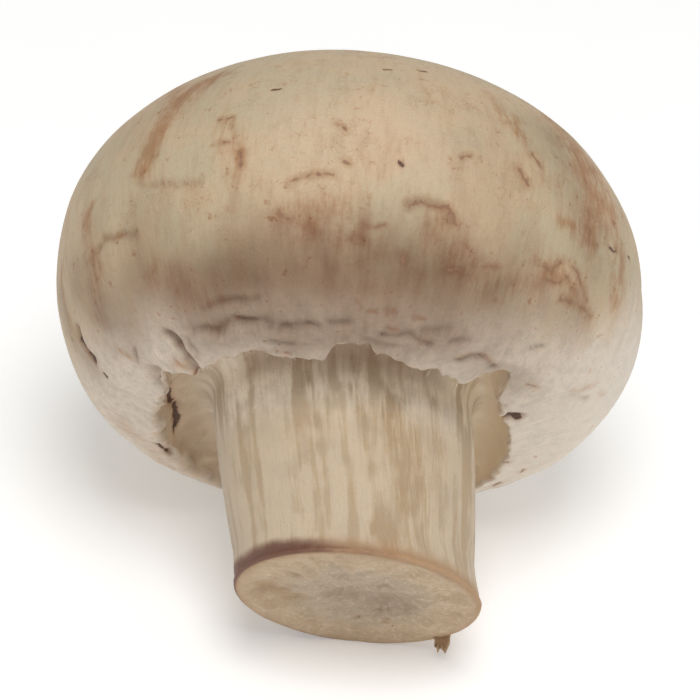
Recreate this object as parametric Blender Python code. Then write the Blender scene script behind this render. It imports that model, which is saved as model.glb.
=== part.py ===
"""A white button mushroom, picked, trimmed across the stem and lying on its side.

The mushroom grew as one piece, so it is one closed solid: a domed cap, the rolled
margin under it, the groove between margin and stem, and a short stem with a cut end.
It is shaped upright, with its axis along +Z and the cut at height 0, and is then laid
down so that it rests on the back of the cap and on the edge of the cut.
"""

import math

import bpy
from mathutils import Matrix, Vector

# Driving dimensions, in metres
CAP_RADIUS = 0.0280
CAP_WIDEST_HEIGHT = 0.0322
CAP_RISE = 0.0210
CAP_DROP = 0.0168
UNDERSIDE_CENTRE_RADIUS = 0.0153
MARGIN_ROLL_RADIUS = 0.0011
MARGIN_HEADING = (-0.91, -0.414)
GROOVE_LEAST_DEPTH = 0.0009
GROOVE_WALL_LEAN = 0.2

STEM_TOP_RADIUS = 0.0122
STEM_WAIST_RADIUS = 0.0112
STEM_WAIST_HEIGHT = 0.0040
STEM_CUT_RADIUS = 0.0116
STEM_TOP_HEIGHT = 0.0185
STEM_TOP_SHIFT = 0.0002
STEM_CUT_SHIFT = 0.0025
CUT_EDGE_ROUND = 0.00045
CUT_SLOPE_SIDEWAYS = -0.048
CUT_SLOPE_BACKWARDS = -0.025
CUT_RAISE = 0.00035
CUT_HOLLOW = 0.0006

FLAT_DEPTH_CAP = 0.00040
FLAT_DEPTH_STEM = 0.00025

# Fineness of the mesh
POINTS_AROUND = 72
STEPS_CROWN = 14
STEPS_UNDERSIDE = 10
STEPS_MARGIN = 6
STEPS_GROOVE = 8
STEPS_STEM = 11
STEPS_CUT = 6
CUT_EDGE_DEGREES = (30, 60, 90)
TILT_ROUNDS = 20
FIRST_TILT = math.radians(30)

FLESH_COLOUR = (0.66, 0.53, 0.39, 1.0)
FLESH_ROUGHNESS = 0.62

# How the crown and the underside depart from a plain ellipse
CROWN_POWER = 1.045
UNDERSIDE_POWER = 1.06
UNDERSIDE_END = math.radians(72.0)
MARGIN_TURN = math.radians(103.0)

# Lobes round the cap: the angle of the middle and the half width, in degrees, where 0 is
# the right side, 90 the back and -90 the front; then how much it adds. The first three
# are shares of the radius, the rest are in metres.
FLAT_TOP = (-55, 60, -0.022)
LEFT_SHOULDER = (-155, 60, 0.014)
RIGHT_HAUNCH = (5, 60, 0.030)
MARGIN_REACHES = ((0, 85, 0.0032), (175, 75, 0.0013), (90, 60, 0.0014))
GROOVE_DEPTHS = (
    (-86, 100, 0.0054),
    (2, 66, 0.0020),
    (180, 60, 0.0016),
    (85, 45, 0.0024),
)

# How near the top of a cubic curve comes to its two middle points
CURVE_TOP = 0.75

# Slow waves round the cap: share of the radius, waves in a turn, and starting angle
WAVES = ((0.004, 2, 2.4), (0.003, 3, -1.1))

# Where the flat top fades in, as shares of the rise from the widest ring to the apex
FLAT_TOP_START = 0.45
FLAT_TOP_FULL = 0.85


def lobe(turn, centre, width, amount):
    """The amount at the centre angle, falling smoothly to 0 at the width on either side."""
    away = abs(math.remainder(turn - math.radians(centre), math.tau))
    reach = min(away / math.radians(width), 1.0)
    return amount * (0.5 + 0.5 * math.cos(math.pi * reach))


def limited(value):
    return min(max(value, 0.0), 1.0)


def smooth(low, high, value):
    share = limited((value - low) / (high - low))
    return share * share * (3.0 - 2.0 * share)


def cap_swelling(turn, height):
    """How much fuller or flatter than a round cap the cap is at one place, as a factor."""
    above = (height - CAP_WIDEST_HEIGHT) / CAP_RISE
    below = (CAP_WIDEST_HEIGHT - height) / CAP_DROP
    waves = sum(size * math.cos(count * turn + start) for size, count, start in WAVES)
    flat_top = lobe(turn, *FLAT_TOP) * smooth(FLAT_TOP_START, FLAT_TOP_FULL, above)
    left_shoulder = lobe(turn, *LEFT_SHOULDER) * math.sin(math.pi * limited(above))
    right_haunch = lobe(turn, *RIGHT_HAUNCH) * math.sin(math.pi * limited(below))
    middle = math.cos(0.5 * math.pi * max(above, -1.0))
    return 1.0 + waves * middle + flat_top + left_shoulder + right_haunch


def margin_reach(turn):
    """How much further in the margin runs before it rolls up, by side."""
    return sum(lobe(turn, *reach) for reach in MARGIN_REACHES)


def groove_depth(turn):
    """How far the groove goes up from the margin's edge: the veil nearly closes it at the sides."""
    return GROOVE_LEAST_DEPTH + sum(lobe(turn, *depth) for depth in GROOVE_DEPTHS)


def stem_radius(height):
    if height < STEM_WAIST_HEIGHT:
        flare = (STEM_WAIST_HEIGHT - height) / STEM_WAIST_HEIGHT
        return STEM_WAIST_RADIUS + (STEM_CUT_RADIUS - STEM_WAIST_RADIUS) * flare**2
    rise = min((height - STEM_WAIST_HEIGHT) / (STEM_TOP_HEIGHT - STEM_WAIST_HEIGHT), 1.0)
    swell = math.sin(0.5 * math.pi * rise)
    return STEM_WAIST_RADIUS + (STEM_TOP_RADIUS - STEM_WAIST_RADIUS) * swell


def stem_shift(height):
    """The stem leans to the right as it goes down."""
    share = min(max(height / STEM_TOP_HEIGHT, 0.0), 1.0)
    return STEM_CUT_SHIFT + (STEM_TOP_SHIFT - STEM_CUT_SHIFT) * share


def around(shift, radius, height, turn):
    return Vector((shift + radius * math.cos(turn), radius * math.sin(turn), height))


def crown(turn):
    """From just off the apex to just above the widest ring."""
    for step in range(1, STEPS_CROWN):
        lean = 0.5 * math.pi * step / STEPS_CROWN
        radius = CAP_RADIUS * math.sin(lean) ** CROWN_POWER
        height = CAP_WIDEST_HEIGHT + CAP_RISE * math.cos(lean)
        yield around(0, radius * cap_swelling(turn, height), height, turn)


def underside(turn):
    """From the widest ring down to where the margin starts to roll."""
    for step in range(STEPS_UNDERSIDE):
        lean = UNDERSIDE_END * step / STEPS_UNDERSIDE
        radius = UNDERSIDE_CENTRE_RADIUS
        radius += (CAP_RADIUS - UNDERSIDE_CENTRE_RADIUS) * math.cos(lean)
        height = CAP_WIDEST_HEIGHT - CAP_DROP * math.sin(lean) ** UNDERSIDE_POWER
        yield around(0, radius * cap_swelling(turn, height), height, turn)


def margin_start(turn):
    """(radius, height) where the underside ends, and the direction it heads in."""
    radius = UNDERSIDE_CENTRE_RADIUS
    radius += (CAP_RADIUS - UNDERSIDE_CENTRE_RADIUS) * math.cos(UNDERSIDE_END)
    height = CAP_WIDEST_HEIGHT - CAP_DROP * math.sin(UNDERSIDE_END) ** UNDERSIDE_POWER
    start = Vector((radius, height)) + Vector((-margin_reach(turn), 0.0))
    heading = Vector(MARGIN_HEADING).normalized()
    return start, heading


def margin_roll_centre(turn):
    start, heading = margin_start(turn)
    return start + MARGIN_ROLL_RADIUS * Vector((heading.y, -heading.x))


def margin_roll(turn):
    """The margin curls in and up on a small arc."""
    start, _heading = margin_start(turn)
    centre = margin_roll_centre(turn)
    spoke = start - centre
    for step in range(STEPS_MARGIN + 1):
        angle = -MARGIN_TURN * step / STEPS_MARGIN
        point = centre + spoke @ Matrix.Rotation(-angle, 2)
        yield around(0, point.x, point.y, turn)


def groove(turn):
    """From the margin's inner edge up over the veil and down to the top of the stem."""
    start, _heading = margin_start(turn)
    centre = margin_roll_centre(turn)
    edge = centre + (start - centre) @ Matrix.Rotation(MARGIN_TURN, 2)
    foot_height = STEM_TOP_HEIGHT
    depth = groove_depth(turn) / CURVE_TOP
    foot = Vector((stem_radius(foot_height), foot_height))
    wall = edge + depth * Vector((-GROOVE_WALL_LEAN, 1.0))
    root = foot + Vector((0.0, depth))
    for step in range(1, STEPS_GROOVE):
        share = step / STEPS_GROOVE
        rest = 1.0 - share
        point = rest**3 * edge + 3 * rest**2 * share * wall
        point += 3 * rest * share**2 * root + share**3 * foot
        yield around(STEM_TOP_SHIFT * share, point.x, point.y, turn)


def cut_height(turn, radius):
    """Height of the tilted cut, at a radius from the middle of the stem's end."""
    sideways = CUT_SLOPE_SIDEWAYS * radius * math.cos(turn)
    backwards = CUT_SLOPE_BACKWARDS * radius * math.sin(turn)
    return CUT_RAISE + sideways + backwards


def stem(turn):
    """From the groove down to where the edge of the cut starts to round."""
    bottom = cut_height(turn, STEM_CUT_RADIUS) + CUT_EDGE_ROUND
    for step in range(STEPS_STEM + 1):
        height = STEM_TOP_HEIGHT + (bottom - STEM_TOP_HEIGHT) * step / STEPS_STEM
        yield around(stem_shift(height), stem_radius(height), height, turn)


def cut_end(turn):
    """Round the edge, then in across the slightly hollow cut face."""
    flat_radius = STEM_CUT_RADIUS - CUT_EDGE_ROUND
    for degrees in CUT_EDGE_DEGREES:
        angle = math.radians(degrees)
        radius = flat_radius + CUT_EDGE_ROUND * math.cos(angle)
        height = cut_height(turn, radius) + CUT_EDGE_ROUND * (1 - math.sin(angle))
        yield around(STEM_CUT_SHIFT, radius, height, turn)
    for step in range(1, STEPS_CUT):
        share = step / STEPS_CUT
        radius = flat_radius * (1 - share)
        hollow = CUT_HOLLOW * math.sin(0.5 * math.pi * share) ** 2
        yield around(STEM_CUT_SHIFT, radius, cut_height(turn, radius) + hollow, turn)


def upright_points():
    """The rows of points from apex to cut, one row for each angle around the axis."""
    rows = []
    for index in range(POINTS_AROUND):
        turn = math.tau * index / POINTS_AROUND
        row = list(crown(turn)) + list(underside(turn)) + list(margin_roll(turn))
        row += list(groove(turn)) + list(stem(turn)) + list(cut_end(turn))
        rows.append(row)
    apex = Vector((0, 0, CAP_WIDEST_HEIGHT + CAP_RISE))
    cut_middle = Vector((STEM_CUT_SHIFT, 0, CUT_RAISE + CUT_HOLLOW))
    return apex, rows, cut_middle


def lying_tilt(rows):
    """The angle between axis and ground when the back of cap and cut edge both touch it."""
    tilt = FIRST_TILT
    for _round in range(TILT_ROUNDS):
        down = Vector((0, math.cos(tilt), -math.sin(tilt)))
        points = [point for row in rows for point in row]
        cap_points = [point for point in points if point.z > STEM_TOP_HEIGHT]
        stem_points = [point for point in points if point.z < STEM_WAIST_HEIGHT]
        cap_contact = max(cap_points, key=down.dot)
        stem_contact = max(stem_points, key=down.dot)
        between = cap_contact - stem_contact
        sunk = FLAT_DEPTH_CAP - FLAT_DEPTH_STEM
        tilt = math.atan2(between.y - sunk, between.z)
    return tilt


def lying_matrix(rows):
    """Lays the mushroom back on to its side, sunk by the depth of its flats."""
    tilt = lying_tilt(rows)
    back = Vector((0, math.sin(tilt), -math.cos(tilt)))
    axis = Vector((0, math.cos(tilt), math.sin(tilt)))
    turned = Matrix(((1, 0, 0), back, axis)).transposed()
    points = [turned @ point for row in rows for point in row]
    lowest = min(point.z for point in points)
    middle_x = 0.5 * (min(p.x for p in points) + max(p.x for p in points))
    middle_y = 0.5 * (min(p.y for p in points) + max(p.y for p in points))
    place = Vector((-middle_x, -middle_y, -lowest - FLAT_DEPTH_CAP))
    return Matrix.Translation(place) @ turned.to_4x4()


def rest_on_ground(point):
    """The soft flesh flattens where it lies on the ground."""
    return Vector((point.x, point.y, max(point.z, 0.0)))


def mushroom_mesh():
    apex, rows, cut_middle = upright_points()
    lay_down = lying_matrix(rows)
    row_length = len(rows[0])
    points = [rest_on_ground(lay_down @ point) for row in rows for point in row]
    points += [lay_down @ apex, lay_down @ cut_middle]
    apex_index = len(points) - 2
    cut_index = len(points) - 1
    faces = []
    for index in range(POINTS_AROUND):
        here = index * row_length
        following = (index + 1) % POINTS_AROUND * row_length
        faces.append((apex_index, here, following))
        for step in range(row_length - 1):
            low = step + 1
            faces.append((here + step, here + low, following + low, following + step))
        faces.append((here + row_length - 1, cut_index, following + row_length - 1))
    mesh = bpy.data.meshes.new("mushroom")
    mesh.from_pydata(points, [], faces)
    mesh.validate()
    mesh.shade_smooth()
    return mesh


def mushroom_flesh():
    """The pale skin and flesh of a white button mushroom."""
    material = bpy.data.materials.new("mushroom_flesh")
    material.use_nodes = True
    surface = material.node_tree.nodes["Principled BSDF"]
    surface.inputs["Base Color"].default_value = FLESH_COLOUR
    surface.inputs["Roughness"].default_value = FLESH_ROUGHNESS
    surface.inputs["Metallic"].default_value = 0.0
    return material


def clear_scene():
    for old in list(bpy.data.objects):
        bpy.data.objects.remove(old, do_unlink=True)


def main():
    clear_scene()
    mesh = mushroom_mesh()
    mesh.materials.append(mushroom_flesh())
    mushroom = bpy.data.objects.new("mushroom", mesh)
    bpy.context.scene.collection.objects.link(mushroom)


main()
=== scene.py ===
"""The white button mushroom's finished surface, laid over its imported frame.

The mushroom is shaped upright, in millimetres, with its axis along +Z and the middle of
the cut at height 0, and is then laid on its side where the frame has it. An angle called
turn goes round the axis: 0 is the right side, 90 the back that lies on the floor, and
-90 the front, which faces up and out. The way from the crown's top to the middle of the
cut is told by the number along, which passes a whole number at each border below.
"""

import math
import random

import bpy
import numpy as np
from mathutils import Euler, Matrix, Vector


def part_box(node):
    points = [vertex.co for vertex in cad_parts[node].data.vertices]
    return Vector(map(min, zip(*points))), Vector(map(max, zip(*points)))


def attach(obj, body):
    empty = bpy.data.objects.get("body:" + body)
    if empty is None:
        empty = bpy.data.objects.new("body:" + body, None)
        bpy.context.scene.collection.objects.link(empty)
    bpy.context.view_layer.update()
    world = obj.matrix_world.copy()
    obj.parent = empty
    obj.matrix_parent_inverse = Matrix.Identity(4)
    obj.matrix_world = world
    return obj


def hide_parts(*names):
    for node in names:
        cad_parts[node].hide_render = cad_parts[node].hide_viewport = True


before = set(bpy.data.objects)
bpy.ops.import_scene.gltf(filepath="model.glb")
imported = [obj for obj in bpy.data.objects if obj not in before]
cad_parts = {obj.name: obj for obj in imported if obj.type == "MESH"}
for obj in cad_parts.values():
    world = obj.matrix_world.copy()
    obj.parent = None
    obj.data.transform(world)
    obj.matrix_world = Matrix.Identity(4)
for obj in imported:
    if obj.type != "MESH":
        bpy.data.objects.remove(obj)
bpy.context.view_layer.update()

MM = 0.001

# Sizes, in millimetres
CAP_RADIUS = 28.0
CAP_WIDEST_HEIGHT = 32.2
CAP_RISE = 21.0
CAP_DROP = 16.8
UNDERSIDE_CENTRE_RADIUS = 15.3
STEM_TOP_RADIUS = 12.2
STEM_WAIST_RADIUS = 11.2
STEM_WAIST_HEIGHT = 4.0
STEM_CUT_RADIUS = 11.6
STEM_TOP_HEIGHT = 18.5
STEM_TOP_SHIFT = 0.2
STEM_CUT_SHIFT = 2.5
CUT_EDGE_ROUND = 0.45
CUT_SLOPE_SIDEWAYS = -0.048
CUT_SLOPE_BACKWARDS = -0.025
CUT_RAISE = 0.35
FLAT_DEPTH_CAP = 0.40
FLAT_DEPTH_STEM = 0.25
CROWN_POWER = 1.045
UNDERSIDE_POWER = 1.06
UNDERSIDE_END = math.radians(72.0)
# The underside's heading where it ends at the margin: shares outward and downward
MARGIN_OUTWARD = 0.414
MARGIN_DOWNWARD = 0.91
# Share of the underside where the margin's reach and its torn outline begin
MARGIN_START = 0.72
EDGE_HALF_THICKNESS = 0.85
EDGE_THINNING = 0.50
EDGE_CURL = math.radians(110)
EDGE_CURL_FRONT = math.radians(45)
GROOVE_LEAST_DEPTH = 0.9
GROOVE_WALL_SHARE = 0.6
CUT_HOLLOW = 0.6
# How near the top of a cubic curve comes to its two middle points
CURVE_TOP = 0.75
FIRST_TILT = math.radians(30)
TILT_ROUNDS = 20

# Where noise is read round the axis: about the margin's and the stem's radius
MARGIN_RADIUS = 17.0
STRAND_RADIUS = 13.0
# How much the noise of the fibres' colour is drawn out down the mushroom
FIBRE_STRETCH = 0.15

# Borders along the way from the crown's top to the middle of the cut
WIDEST, MARGIN, EDGE, STEM_TOP, CUT_EDGE, CUT_FACE, CUT_MIDDLE = range(1, 8)

# Fineness of the mesh
COLUMNS = 400
FRONT_FINENESS = 0.30
ROWS = {
    "crown": 56,
    "underside": 64,
    "edge": 14,
    "groove": 26,
    "stem": 54,
    "rim": 6,
    "cut": 24,
}

# Loose threads of the veil, and the shred at the cut. The span is in degrees right of
# the front, sizes are in millimetres, and the rest are shares or counts.
THREAD_COUNT = 44
THREAD_STEPS = 5
THREAD_SIDES = 5
THREAD_SEED = 7
THREAD_SPAN = (-58, 62)
THREAD_LENGTHS = (0.2, 0.75)
THREAD_RADII = (0.03, 0.06)
THREAD_SAG = 0.3
THREAD_BOW = 0.4
THREAD_TAPER = 0.7
SHRED_SEED = 4
SHRED_ROWS = 6
SHRED_COLUMNS = 6
SHRED_LENGTH = 1.9
SHRED_WIDTH = 1.7
SHRED_THICKNESS = 0.35
SHRED_ROOT = (STEM_CUT_SHIFT + 8.3, 8.1, 0.25)
SHRED_TAPER = 0.32
SHRED_UNEVEN = 0.12
SHRED_TORN = (-0.7, 0.4)
SHRED_HANG = math.radians(24.0)

# The torn edge of the veil at the front: degrees from the front towards the right, and
# how far it reaches in past the margin, in millimetres
TORN_EDGE = (
    (-75, 0.0),
    (-60, -0.4),
    (-55, -1.9),
    (-52, -1.6),
    (-50, -0.9),
    (-47, -0.2),
    (-40, -0.7),
    (-31, -1.1),
    (-27, -1.5),
    (-24, -1.5),
    (-19, -0.7),
    (-12, -0.4),
    (-6, -0.6),
    (-4, -1.5),
    (-2, -2.3),
    (3, -2.7),
    (6, -2.5),
    (9, -1.7),
    (12, -1.4),
    (18, -0.9),
    (22, -0.6),
    (26, -1.1),
    (29, -0.8),
    (31, -0.7),
    (36, -0.4),
    (38, -0.8),
    (40, -2.2),
    (43, -3.1),
    (46, -3.4),
    (49, -2.9),
    (52, -1.3),
    (56, -0.9),
    (60, -0.3),
)


def bump(turn, centre, width):
    """1 at the centre angle, falling smoothly to 0 at the width on either side."""
    away = np.abs((turn - math.radians(centre) + math.pi) % math.tau - math.pi)
    reach = np.minimum(away / math.radians(width), 1.0)
    return 0.5 + 0.5 * np.cos(math.pi * reach)


def smooth(low, high, value):
    share = np.clip((value - low) / (high - low), 0.0, 1.0)
    return share * share * (3.0 - 2.0 * share)


# The lattice of random numbers leans, so that no face of the mushroom lies along it
LATTICE_LEAN = np.array(Euler((0.6, 0.9, 0.4)).to_matrix())


def lattice(corner, seed):
    """A fixed random number from -1 to 1 for each whole-number point."""
    mixed = corner[..., 0] * 374761393 + corner[..., 1] * 668265263
    mixed = mixed + corner[..., 2] * 1274126177 + seed * 362437
    mixed = (mixed ^ (mixed >> 13)) * 1103515245 & 0xFFFFFFFF
    mixed = (mixed ^ (mixed >> 15)) * 2654435761 & 0xFFFFFFFF
    return ((mixed ^ (mixed >> 16)) & 0xFFFF) / 32767.5 - 1.0


def noise(points, size, seed):
    """Soft lumps of about the given size in millimetres, from -1 to 1."""
    places = np.asarray(points) @ LATTICE_LEAN / size
    corner = np.floor(places).astype(np.int64)
    inside = places - corner
    ease = inside * inside * (3.0 - 2.0 * inside)
    total = 0.0
    for step in range(8):
        offset = np.array([step & 1, step >> 1 & 1, step >> 2 & 1])
        weight = np.prod(np.where(offset, ease, 1.0 - ease), axis=-1)
        total = total + weight * lattice(corner + offset, seed)
    return total


def rough_noise(points, size, seed, layers=3):
    total = 0.0
    strength = 1.0
    for layer in range(layers):
        total = total + strength * noise(points, size / 2**layer, seed + layer)
        strength *= 0.5
    return total / 1.6


def ring(turn, size, seed):
    """Noise that only changes round the axis."""
    side, back = MARGIN_RADIUS * np.cos(turn), MARGIN_RADIUS * np.sin(turn)
    return noise(np.stack([side, back, 0 * turn], axis=-1), size, seed)


# The plain shape ---------------------------------------------------------------------


def cap_swelling(turn, height):
    """How much fuller or flatter than a round cap the cap is at one place, as a factor."""
    above = np.clip((height - CAP_WIDEST_HEIGHT) / CAP_RISE, -1.0, 1.0)
    middle = np.cos(0.5 * math.pi * above)
    shoulder = np.sin(math.pi * np.clip(above, 0.0, 1.0))
    haunch = np.sin(math.pi * np.clip(-above * CAP_RISE / CAP_DROP, 0.0, 1.0))
    slow = 0.004 * np.cos(2 * turn + 2.4) + 0.003 * np.cos(3 * turn - 1.1)
    flat_top = -0.022 * bump(turn, -55, 60) * smooth(0.45, 0.85, above)
    left_shoulder = 0.014 * bump(turn, -155, 60) * shoulder
    right_haunch = 0.030 * bump(turn, 5, 60) * haunch
    return 1.0 + slow * middle + flat_top + left_shoulder + right_haunch


def margin_reach(turn):
    """How much further in the margin runs before its edge, by side."""
    right = 3.2 * bump(turn, 0, 85)
    front = 0.9 * bump(turn, -90, 60)
    left = 1.3 * bump(turn, 175, 75)
    back = 1.4 * bump(turn, 90, 60)
    return right + front + left + back


def degrees_from_front(turn):
    return np.degrees((turn + 0.5 * math.pi + math.pi) % math.tau - math.pi)


def torn_reach(turn):
    """The ragged outline of the torn veil at the front, and a rougher edge elsewhere."""
    from_front = degrees_from_front(turn)
    angles, reaches = zip(*TORN_EDGE)
    front = np.interp(from_front, angles, reaches)
    ragged = 0.26 * ring(turn, 1.1, 21) + 0.20 * ring(turn, 0.5, 22)
    ragged = ragged * (1.0 - 0.6 * bump(turn, -15, 30))
    return front + ragged + 0.25 * ring(turn, 4.0, 23)


def edge_round(turn):
    """Half the thickness of the margin's edge: thin where the veil is torn."""
    thin = np.maximum(bump(turn, -90, 95), bump(turn, 10, 70))
    half = EDGE_HALF_THICKNESS - EDGE_THINNING * smooth(0.0, 0.5, thin)
    return half * (1.0 + 0.3 * ring(turn, 0.9, 24))


def groove_depth(turn):
    """How far the groove goes up from the margin's edge, by side."""
    front = 5.4 * bump(turn, -86, 100)
    right = 2.0 * bump(turn, 2, 66)
    left = 1.6 * bump(turn, 180, 60)
    back = 2.4 * bump(turn, 85, 45)
    return GROOVE_LEAST_DEPTH + front + right + left + back


def stem_radius(height):
    flare = np.clip((STEM_WAIST_HEIGHT - height) / STEM_WAIST_HEIGHT, 0.0, None)
    rise = (height - STEM_WAIST_HEIGHT) / (STEM_TOP_HEIGHT - STEM_WAIST_HEIGHT)
    swell = np.sin(0.5 * math.pi * np.clip(rise, 0.0, 1.0))
    below = (STEM_CUT_RADIUS - STEM_WAIST_RADIUS) * flare**2
    above = (STEM_TOP_RADIUS - STEM_WAIST_RADIUS) * swell
    return STEM_WAIST_RADIUS + below + above


def stem_shift(height):
    """The stem leans to the right as it goes down."""
    share = np.clip(height / STEM_TOP_HEIGHT, 0.0, 1.0)
    return STEM_CUT_SHIFT + (STEM_TOP_SHIFT - STEM_CUT_SHIFT) * share


def cut_height(turn, radius):
    """Height of the tilted cut, at a radius from the middle of the stem's end."""
    sideways = CUT_SLOPE_SIDEWAYS * radius * np.cos(turn)
    backwards = CUT_SLOPE_BACKWARDS * radius * np.sin(turn)
    return CUT_RAISE + sideways + backwards


def crown(turn, share):
    lean = 0.5 * math.pi * share
    height = CAP_WIDEST_HEIGHT + CAP_RISE * math.cos(lean) + 0 * turn
    radius = CAP_RADIUS * math.sin(lean) ** CROWN_POWER
    return 0 * turn, radius * cap_swelling(turn, height), height


def underside(turn, share):
    lean = UNDERSIDE_END * share
    height = CAP_WIDEST_HEIGHT - CAP_DROP * math.sin(lean) ** UNDERSIDE_POWER + 0 * turn
    radius = CAP_RADIUS - UNDERSIDE_CENTRE_RADIUS
    radius = UNDERSIDE_CENTRE_RADIUS + radius * math.cos(lean)
    begun = smooth(MARGIN_START, 1.0, share)
    reach = (margin_reach(turn) + torn_reach(turn)) * begun
    drop = MARGIN_OUTWARD / MARGIN_DOWNWARD * torn_reach(turn) * begun
    return 0 * turn, radius * cap_swelling(turn, height) - reach, height - drop


def edge_frame(turn):
    """Centre and size of the margin's rounding: radius, height and half thickness."""
    _shift, radius, height = underside(turn, 1.0)
    small = edge_round(turn)
    return radius - MARGIN_OUTWARD * small, height + MARGIN_DOWNWARD * small, small


def edge_turned(turn, share):
    """A point on the margin's rounded edge, turned up from the underside's heading."""
    centre_radius, centre_height, small = edge_frame(turn)
    curl = EDGE_CURL + EDGE_CURL_FRONT * bump(turn, -90, 100)
    angle = math.atan2(-MARGIN_DOWNWARD, MARGIN_OUTWARD) - curl * share
    return centre_radius + small * np.cos(angle), centre_height + small * np.sin(angle)


def edge(turn, share):
    radius, height = edge_turned(turn, share)
    return 0 * turn, radius, height


def groove(turn, share):
    """From the margin's inner edge up over the veil and down to the top of the stem."""
    start_radius, start_height = edge_turned(turn, 1.0)
    depth = groove_depth(turn) / CURVE_TOP
    outward = -0.2 + 0.55 * bump(turn, -90, 95)
    wall_radius = start_radius + outward * depth * GROOVE_WALL_SHARE
    wall_height = start_height + depth
    foot_radius = stem_radius(STEM_TOP_HEIGHT + 0 * turn)
    rest = 1.0 - share
    radius = rest**3 * start_radius + 3 * rest**2 * share * wall_radius
    radius = radius + (3 * rest * share**2 + share**3) * foot_radius
    height = rest**3 * start_height + 3 * rest**2 * share * wall_height
    height = height + 3 * rest * share**2 * (STEM_TOP_HEIGHT + depth)
    height = height + share**3 * STEM_TOP_HEIGHT
    return STEM_TOP_SHIFT * share + 0 * turn, radius, height


def stem(turn, share):
    bottom = cut_height(turn, STEM_CUT_RADIUS) + CUT_EDGE_ROUND
    height = STEM_TOP_HEIGHT + (bottom - STEM_TOP_HEIGHT) * share
    return stem_shift(height), stem_radius(height), height


def rim(turn, share):
    angle = 0.5 * math.pi * share
    radius = STEM_CUT_RADIUS - CUT_EDGE_ROUND * (1.0 - math.cos(angle))
    height = cut_height(turn, radius) + CUT_EDGE_ROUND * (1.0 - math.sin(angle))
    return STEM_CUT_SHIFT + 0 * turn, radius + 0 * turn, height


def cut(turn, share):
    radius = (STEM_CUT_RADIUS - CUT_EDGE_ROUND) * (1.0 - share) + 0 * turn
    hollow = CUT_HOLLOW * math.sin(0.5 * math.pi * share) ** 2
    return STEM_CUT_SHIFT + 0 * turn, radius, cut_height(turn, radius) + hollow


def column_turns():
    """Angles of the mesh's columns, closer together at the front."""
    even = np.linspace(-1.0, 1.0, COLUMNS, endpoint=False)
    warped = even - FRONT_FINENESS * np.sin(math.pi * even) / math.pi
    return math.pi * warped - 0.5 * math.pi


def plain_shape():
    """Points and along values in rows from the crown's top to the middle of the cut."""
    turn = column_turns()
    sections = (crown, underside, edge, groove, stem, rim, cut)
    rows = []
    along = []
    for index, section in enumerate(sections):
        steps = ROWS[section.__name__]
        first = 1 if section is crown else 0
        for step in range(first, steps):
            share = step / steps
            shift, radius, height = section(turn, share)
            side = shift + radius * np.cos(turn)
            rows.append(np.stack([side, radius * np.sin(turn), height], axis=-1))
            along.append(np.full(COLUMNS, index + share))
    return turn, np.array(rows), np.array(along)


def outward_directions(points):
    """Unit normals of the rows of points, pointing out of the mushroom."""
    down = np.gradient(points, axis=0)
    round_ = 0.5 * (np.roll(points, -1, axis=1) - np.roll(points, 1, axis=1))
    normal = np.cross(down, round_)
    return normal / np.maximum(np.linalg.norm(normal, axis=-1, keepdims=True), 1e-9)


def way_down(points):
    """Distance along each column from the widest ring, in millimetres."""
    steps = np.linalg.norm(np.diff(points, axis=0), axis=-1)
    travelled = np.concatenate([np.zeros((1, COLUMNS)), np.cumsum(steps, axis=0)])
    return travelled - travelled[ROWS["crown"] - 1]


# Fine relief -------------------------------------------------------------------------


def place(from_front, down):
    """The plain point at degrees right of the front and millimetres below the widest ring."""
    turn = math.radians(from_front - 90)
    column = int(np.argmin(np.abs((TURN - turn + math.pi) % math.tau - math.pi)))
    row = int(np.argmin(np.abs(DOWN[:, column] - down)))
    return PLAIN[row, column]


def near(path, width):
    """1 on a path of places, falling softly to 0 beside it, for each point of the shape."""
    places = np.array([place(*spot) for spot in path])
    reach = 3.0 * width
    inside = (PLAIN > places.min(axis=0) - reach) & (PLAIN < places.max(axis=0) + reach)
    inside = inside.all(axis=-1)
    points = WOBBLED[inside]
    least = np.full(len(points), 1e3)
    for first, last in zip(places, places[1:]):
        line = last - first
        share = np.clip((points - first) @ line / (line @ line), 0.0, 1.0)
        least = np.minimum(least, np.linalg.norm(points - first - share[:, None] * line, axis=-1))
    total = np.zeros(PLAIN.shape[:-1])
    total[inside] = np.exp(-((least / width) ** 2))
    if width < BROAD:
        total[inside] *= FADING[inside]
    return total


def strands(turn, points, size, seed, stretch):
    """Noise drawn out lengthwise, for fibres that run from crown to cut."""
    height = points[..., 2] / stretch
    side = STRAND_RADIUS * np.cos(turn) + 0 * height
    back = STRAND_RADIUS * np.sin(turn) + 0 * height
    return noise(np.stack([side, back, height], axis=-1), size, seed)


def cap_relief(points, along):
    """Slow unevenness of the cap and a fine grain on its skin."""
    on_cap = 1.0 - smooth(EDGE - 0.6, EDGE, along)
    lumps = 0.22 * noise(points, 13.0, 1) + 0.07 * noise(points, 5.0, 2)
    skin = 0.02 * rough_noise(points, 1.6, 3)
    return on_cap * (lumps + skin)


def margin_relief(points, along, turn):
    """The cottony margin: fine radial threads and soft lumps."""
    on_margin = smooth(WIDEST + 0.45, WIDEST + 0.85, along)
    on_margin = on_margin * (1.0 - smooth(EDGE - 0.1, EDGE + 0.1, along))
    threads = 0.05 * strands(turn, points, 0.55, 11, 5.0)
    low_down = smooth(WIDEST + 0.68, WIDEST + 0.85, along)
    lumps = 0.15 * rough_noise(points, 3.0, 12) + 0.13 * low_down * rough_noise(points, 1.5, 13)
    return on_margin * (threads + lumps)


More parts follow.
